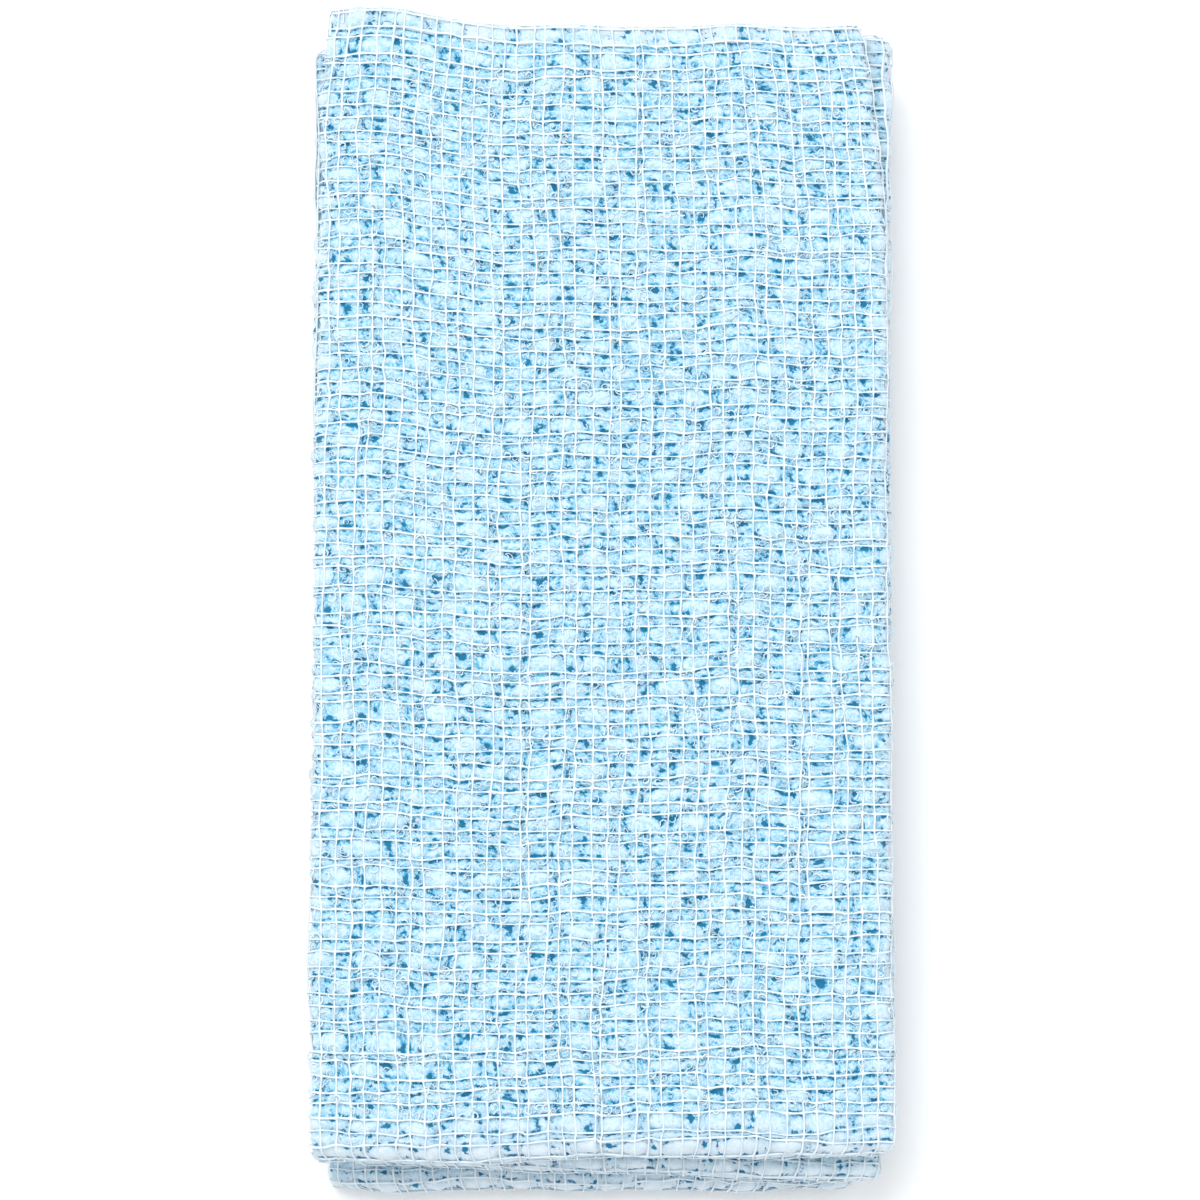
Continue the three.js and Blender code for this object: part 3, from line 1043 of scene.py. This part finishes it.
class TowelColourSettings(PropertyGroup):
    puff: colour("Puff", "Texture yarn where it puffs up", "#d6eaf5")
    puff_shade: colour("Puff shade", "Texture yarn in the dips of a puff", "#acd6ec")
    between: colour("Between", "Texture yarn between the puffs", "#9ad2ea")
    # Shaded and Hollow are partly the blue of the plies below seen through, partly painted shade round and
    # in the hollows
    between_deep_shade: colour("Shaded", "Texture yarn round a hollow", "#60b3d8")
    hollow: colour("Hollow", "Deep between the yarns", "#1f7ba3")
    # Fold is partly cloth stretched thin, partly painted shade on turned edges and crease noses
    fold: colour("Fold", "Cloth stretched thin over a fold", "#dae4ec")
    thread: colour("Thread", "Ground thread", "#ecf8fd")
    thread_shade: colour("Thread shade", "Ground thread where it dips", "#cfebf7")
    loop: colour("Loop", "Loose loops of texture yarn", "#dcf2fb")
    paper: colour("Paper", "Studio table", "#fbfbfb")


# ---------------------------------------------------------------------------------------------
# Rows and columns of each piece


FACE_CELL_MARGIN = 2  # cells past each turn that are still as fine as the face


def fractions(first, last, per_cell):
    """Lattice places from first to last, per_cell to each cell, or one in several cells below one."""
    count = max(1, int(round((last - first) * per_cell)))
    return np.linspace(first, last, count + 1)


def lattice_columns(weave, face, outer, inner):
    """Columns of a panel, with so many to the cell on its face, outer flap and hidden inner flap."""
    cell = U_END / weave.across
    start = int(U_LEFT_TURN / cell) - FACE_CELL_MARGIN
    stop = int(math.ceil(U_OUTER_FLAP / cell)) + FACE_CELL_MARGIN
    parts = (
        fractions(0, start, inner)[:-1],
        fractions(start, stop, face)[:-1],
        fractions(stop, weave.across, outer),
    )
    return np.concatenate(parts)


def face_lines(weave):
    """First and last line of the lattice on a panel's face, turns included."""
    cell = U_END / weave.across
    return int(U_LEFT_TURN / cell) - 1, int(math.ceil(U_OUTER_FLAP / cell)) + 1


def row_of(weave, v):
    """Row at a place along the flat cloth."""
    return float(np.interp(v, weave.lines_v, np.arange(weave.along + 1)))


HEM_ROWS = 3  # rows of the weave that a hem takes
TURNED_ROWS = 1.6  # rows past the edge that turn under


def panel_rows(weave, number):
    """First and last row line of a panel between its creases or hem."""
    start, stop = V_PANEL[number]
    first = HEM_ROWS if number == 1 else int(math.ceil(row_of(weave, start))) + 1
    last = weave.along - HEM_ROWS if number == 6 else int(row_of(weave, stop)) - 1
    return first, last


def crease_rows(weave, number):
    """First and last row line of a crease."""
    return panel_rows(weave, number)[1], panel_rows(weave, number + 1)[0]


def hem_rows(weave, number):
    """First and last row line of the hem of a panel, with the rows that turn under."""
    if number == 1:
        return -TURNED_ROWS, HEM_ROWS
    return weave.along - HEM_ROWS, weave.along + TURNED_ROWS


ALONG_LIFT, ACROSS_LIFT = 0.3, 0.24  # of threads along and across the cloth, over its middle
THREAD_SIDES = 3
HEM_DETAIL = 0.2  # rows between points of a thread that runs along into a hem
HEM_ACROSS_DETAIL = 3
HEM_TURNED_ROWS = 1.2
HEM_EDGE_THREAD = -0.24  # the last thread across lies just past the edge, in rows


def thread_sets(weave, fine):
    """Column lines of a piece's face and of its outer flap, with the points to the cell of each."""
    across_from, across_to = face_lines(weave)
    return ((across_from, across_to, fine[0]), (across_to, weave.across, fine[1]))


def thread_bundle(weave, columns, rows, across):
    """A bundle of threads over lattice points, along the cloth or across it."""
    heights = thread_heights(columns, rows, ACROSS_LIFT if across else ALONG_LIFT)
    return thread_lines(weave, columns, rows, heights, across)


def spin_threads(name, weave, bundles):
    """Makes bundles of threads into tubes."""
    piece = link_mesh(name, thread_mesh(name, bundles))
    values = {
        "Thread Radius": weave.sizes.thread_radius * MM,
        "Sides": THREAD_SIDES,
        "Material": material_of("twisted_nylon_ground_thread"),
    }
    return grow(piece, shared_tree("thread_tubes", thread_growth), values)


def make_threads(name, weave, first, last, kind, skip_ends=False):
    """Ground threads between two row lines, without the threads across on those lines if skip_ends."""
    bundles = []
    for start, stop, per_cell in thread_sets(weave, THREAD_DETAIL[kind]):
        columns = np.arange(start, stop + 1, dtype=float)
        bundles.append(thread_bundle(weave, columns, fractions(first, last, per_cell), False))
        rows = np.arange(first + skip_ends, last + 1 - skip_ends, dtype=float)
        bundles.append(thread_bundle(weave, fractions(start, stop, per_cell), rows, True))
    return spin_threads(name, weave, bundles)


def hem_threads(name, weave, number):
    """Threads of a hem: those along the cloth turn under, and the last across lie close on the edge."""
    edge, inward = (0, 1) if number == 1 else (weave.along, -1)
    bundles = []
    for start, stop, per_cell in thread_sets(weave, (HEM_ACROSS_DETAIL, HEM_ACROSS_DETAIL)):
        columns = np.arange(start, stop + 1, dtype=float)
        rows = edge + inward * np.arange(-HEM_TURNED_ROWS, HEM_ROWS + 0.01, HEM_DETAIL)
        bundles.append(thread_bundle(weave, columns, rows, False))
        rows = edge + inward * np.array([HEM_EDGE_THREAD, *range(HEM_ROWS)])
        bundles.append(thread_bundle(weave, fractions(start, stop, per_cell), rows, True))
    return spin_threads(name, weave, bundles)


shared_weave = []


def weave_of(context):
    """The one weave that every operator of this run shares."""
    if not shared_weave:
        shared_weave.append(Weave(context.scene.towel_weave))
    return shared_weave[0]


# ---------------------------------------------------------------------------------------------
# Operators


class TOWEL_OT_panel_cloth(Operator):
    """Lay the texture yarn of the six panels"""

    bl_idname = "towel.panel_cloth"
    bl_label = "Panel cloth"

    def execute(self, context):
        weave = weave_of(context)
        for number in PANELS:
            first, last = panel_rows(weave, number)
            kind = "top" if number == 1 else "panel"
            piece = cloth_piece(f"panel_{number}_cloth", weave, first, last, kind)
            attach(piece, f"panel_{number}")
            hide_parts(*(f"panel_{number}_{part}" for part in ("face", "inner_flap", "outer_flap")))
        return {"FINISHED"}


class TOWEL_OT_panel_threads(Operator):
    """Weave the ground threads of the six panels"""

    bl_idname = "towel.panel_threads"
    bl_label = "Panel threads"

    def execute(self, context):
        weave = weave_of(context)
        for number in PANELS:
            first, last = panel_rows(weave, number)
            kind = "top" if number == 1 else "panel"
            piece = make_threads(f"panel_{number}_threads", weave, first, last, kind)
            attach(piece, f"panel_{number}")
        return {"FINISHED"}


class TOWEL_OT_creases(Operator):
    """Carry the cloth and its threads round the five creases"""

    bl_idname = "towel.creases"
    bl_label = "Creases"

    def execute(self, context):
        weave = weave_of(context)
        for number in CREASES:
            first, last = crease_rows(weave, number)
            name = f"crease_{number}_{number + 1}"
            yarn = cloth_piece(f"{name}_cloth", weave, first, last, "crease")
            threads = make_threads(f"{name}_threads", weave, first, last, "crease", True)
            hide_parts(f"{name}_upper_half", f"{name}_lower_half")
            for piece in (yarn, threads):
                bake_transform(piece)
        return {"FINISHED"}


class TOWEL_OT_hems(Operator):
    """Turn the cloth under at its two free ends"""

    bl_idname = "towel.hems"
    bl_label = "Hems"

    def execute(self, context):
        weave = weave_of(context)
        for node, number in (("top_end_hem", 1), ("lower_end_hem", 6)):
            first, last = hem_rows(weave, number)
            yarn = cloth_piece(f"{node}_cloth", weave, first, last, "hem")
            threads = hem_threads(f"{node}_threads", weave, number)
            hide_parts(node)
            for piece in (yarn, threads):
                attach(piece, f"panel_{number}")
        return {"FINISHED"}


LOOP_STRAY = 0.25  # how far a loop strays from its place, in millimetres
LOOP_STRAY_OUT = 0.2  # share of that outwards
LOOP_LIFT = (0.08, 0.34)
LOOP_TILT = 0.35


class TOWEL_OT_yarn_loops(Operator):
    """Scatter the loose loops of texture yarn over the face of the top panel"""

    bl_idname = "towel.yarn_loops"
    bl_label = "Yarn loops"

    def execute(self, context):
        weave = weave_of(context)
        sizes = weave.sizes
        chance = np.random.default_rng(sizes.seed + 1)
        cloth = bpy.data.objects["panel_1_cloth"].data
        co, normal, where = (np.zeros((len(cloth.vertices), 3), np.float32) for _ in range(3))
        cloth.vertices.foreach_get("co", co.reshape(-1))
        cloth.vertices.foreach_get("normal", normal.reshape(-1))
        cloth.attributes["weave"].data.foreach_get("vector", where.reshape(-1))
        across_from, across_to = face_lines(weave)
        on_face = np.flatnonzero((where[:, 0] > across_from + 1) & (where[:, 0] < across_to - 1))
        cells = (across_to - across_from) * (where[-1, 1] - where[0, 1])
        count = int(sizes.loops_per_cell * cells)
        picked = np.sort(chance.choice(on_face, count, replace=False))
        aside = chance.uniform(-LOOP_STRAY, LOOP_STRAY, (count, 3)) * MM
        lift = chance.uniform(*LOOP_LIFT, (count, 1)) * MM
        place = co[picked] + normal[picked] * lift + aside * (1, 1, LOOP_STRAY_OUT)
        mesh = bpy.data.meshes.new("panel_1_yarn_loops")
        mesh.vertices.add(count)
        mesh.vertices.foreach_set("co", place.astype(np.float32).ravel())
        fill_vectors(mesh, "out", normal[picked])
        mesh.update()
        piece = link_mesh("panel_1_yarn_loops", mesh)
        values = {
            "Loop Radius": sizes.loop_radius * MM,
            "Yarn Radius": sizes.loop_yarn * MM,
            "Tilt": LOOP_TILT,
            "Seed": sizes.seed,
            "Material": material_of("loose_nylon_texture_yarn"),
        }
        grow(piece, shared_tree("yarn_loops", loop_growth), values)
        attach(piece, "panel_1")
        return {"FINISHED"}


class TOWEL_OT_declare_cloth(Operator):
    """List the pieces that go with each panel, without doing anything with the list"""

    bl_idname = "towel.declare_cloth"
    bl_label = "Declare cloth"

    def execute(self, context):
        for number in PANELS:
            going = [f"panel_{number}_threads"]
            if number == 1:
                going += ["panel_1_yarn_loops", "top_end_hem_cloth", "top_end_hem_threads"]
            if number == 6:
                going += ["lower_end_hem_cloth", "lower_end_hem_threads"]
            else:
                going += [f"crease_{number}_{number + 1}_{part}" for part in ("cloth", "threads")]
        return {"FINISHED"}


class TOWEL_OT_stage(Operator):
    """Set the table, the light and the camera"""

    bl_idname = "towel.stage"
    bl_label = "Stage"

    def execute(self, context):
        scene = context.scene
        scene.view_settings.view_transform = "Standard"
        make_table(scene)
        make_light(scene)
        make_camera(scene)
        return {"FINISHED"}


TABLE_TOP = -0.6 * MM  # just clear of the lowest threads
TABLE_HALF = 3.0
DAYLIGHT = (0.98, 0.99, 1, 1)
DAYLIGHT_STRENGTH = 0.98
SOFTBOX_PLACE = (-0.3, 0.45, 1.3)
SOFTBOX_SIZE = 0.9
SOFTBOX_POWER = 9.5


def make_table(scene):
    """A wide table under the pack."""
    ends = (-TABLE_HALF, TABLE_HALF)
    corners = [(ends[i], ends[j], 0) for i, j in ((0, 0), (1, 0), (1, 1), (0, 1))]
    mesh = bpy.data.meshes.new("table")
    mesh.from_pydata(corners, [], [(0, 1, 2, 3)])
    mesh.transform(Matrix.Translation((0, 0, TABLE_TOP)))
    mesh.materials.append(studio_paper(tuple(scene.towel_colours.paper)))
    link_mesh("table", mesh)


def area_light(scene, name, place, size, power):
    """A round light that points at the pack."""
    lamp = bpy.data.lights.new(name, "AREA")
    lamp.shape = "DISK"
    lamp.size = size
    lamp.energy = power
    holder = bpy.data.objects.new(name, lamp)
    scene.collection.objects.link(holder)
    holder.location = place
    towards = -np.array(place)
    flat = math.hypot(towards[0], towards[1])
    heading = math.atan2(towards[1], towards[0]) - math.pi / 2
    holder.rotation_euler = (math.atan2(flat, -towards[2]), 0, heading)


def make_light(scene):
    """Even daylight and one softbox overhead."""
    world = bpy.data.worlds.new("soft_studio")
    world.use_nodes = True
    background = world.node_tree.nodes["Background"]
    background.inputs["Color"].default_value = DAYLIGHT
    background.inputs["Strength"].default_value = DAYLIGHT_STRENGTH
    scene.world = world
    area_light(scene, "overhead_softbox", SOFTBOX_PLACE, SOFTBOX_SIZE, SOFTBOX_POWER)


CAMERA_LENS = 180.0
CAMERA_TILT = 79.0  # above the horizon
FRAME_WIDTH = 0.2064  # metres across the picture at the pack
AIM = (-0.0004, -0.0009, 0.0107)


def make_camera(scene):
    """A long lens, high in front of the pack."""
    camera = bpy.data.cameras.new("camera")
    camera.lens = CAMERA_LENS
    camera.clip_end = 20
    holder = bpy.data.objects.new("camera", camera)
    scene.collection.objects.link(holder)
    distance = FRAME_WIDTH * CAMERA_LENS / camera.sensor_width
    tilt = math.radians(CAMERA_TILT)
    holder.location = (AIM[0], AIM[1] - distance * math.cos(tilt), AIM[2] + distance * math.sin(tilt))
    holder.rotation_euler = (math.pi / 2 - tilt, 0, 0)
    scene.camera = holder


class TOWEL_PT_build(Panel):
    """Lists the steps that dress the towel"""

    bl_label = "Folded towel"
    bl_idname = "TOWEL_PT_build"
    bl_space_type = "VIEW_3D"
    bl_region_type = "UI"
    bl_category = "Towel"

    def draw(self, context):
        for group in (context.scene.towel_weave, context.scene.towel_colours):
            for name in group.__annotations__:
                self.layout.prop(group, name)
        for step in STEPS:
            self.layout.operator(step.bl_idname)


STEPS = (
    TOWEL_OT_panel_cloth,
    TOWEL_OT_panel_threads,
    TOWEL_OT_creases,
    TOWEL_OT_hems,
    TOWEL_OT_yarn_loops,
    TOWEL_OT_declare_cloth,
    TOWEL_OT_stage,
)
CLASSES = (TowelWeaveSettings, TowelColourSettings, *STEPS, TOWEL_PT_build)


def register():
    for item in CLASSES:
        bpy.utils.register_class(item)
    bpy.types.Scene.towel_weave = PointerProperty(type=TowelWeaveSettings)
    bpy.types.Scene.towel_colours = PointerProperty(type=TowelColourSettings)


def unregister():
    del bpy.types.Scene.towel_colours
    del bpy.types.Scene.towel_weave
    for item in reversed(CLASSES):
        bpy.utils.unregister_class(item)


def main():
    register()
    bpy.ops.towel.panel_cloth()
    bpy.ops.towel.panel_threads()
    bpy.ops.towel.creases()
    bpy.ops.towel.hems()
    bpy.ops.towel.yarn_loops()
    bpy.ops.towel.declare_cloth()
    bpy.ops.towel.stage()


if __name__ == "__main__":
    main()
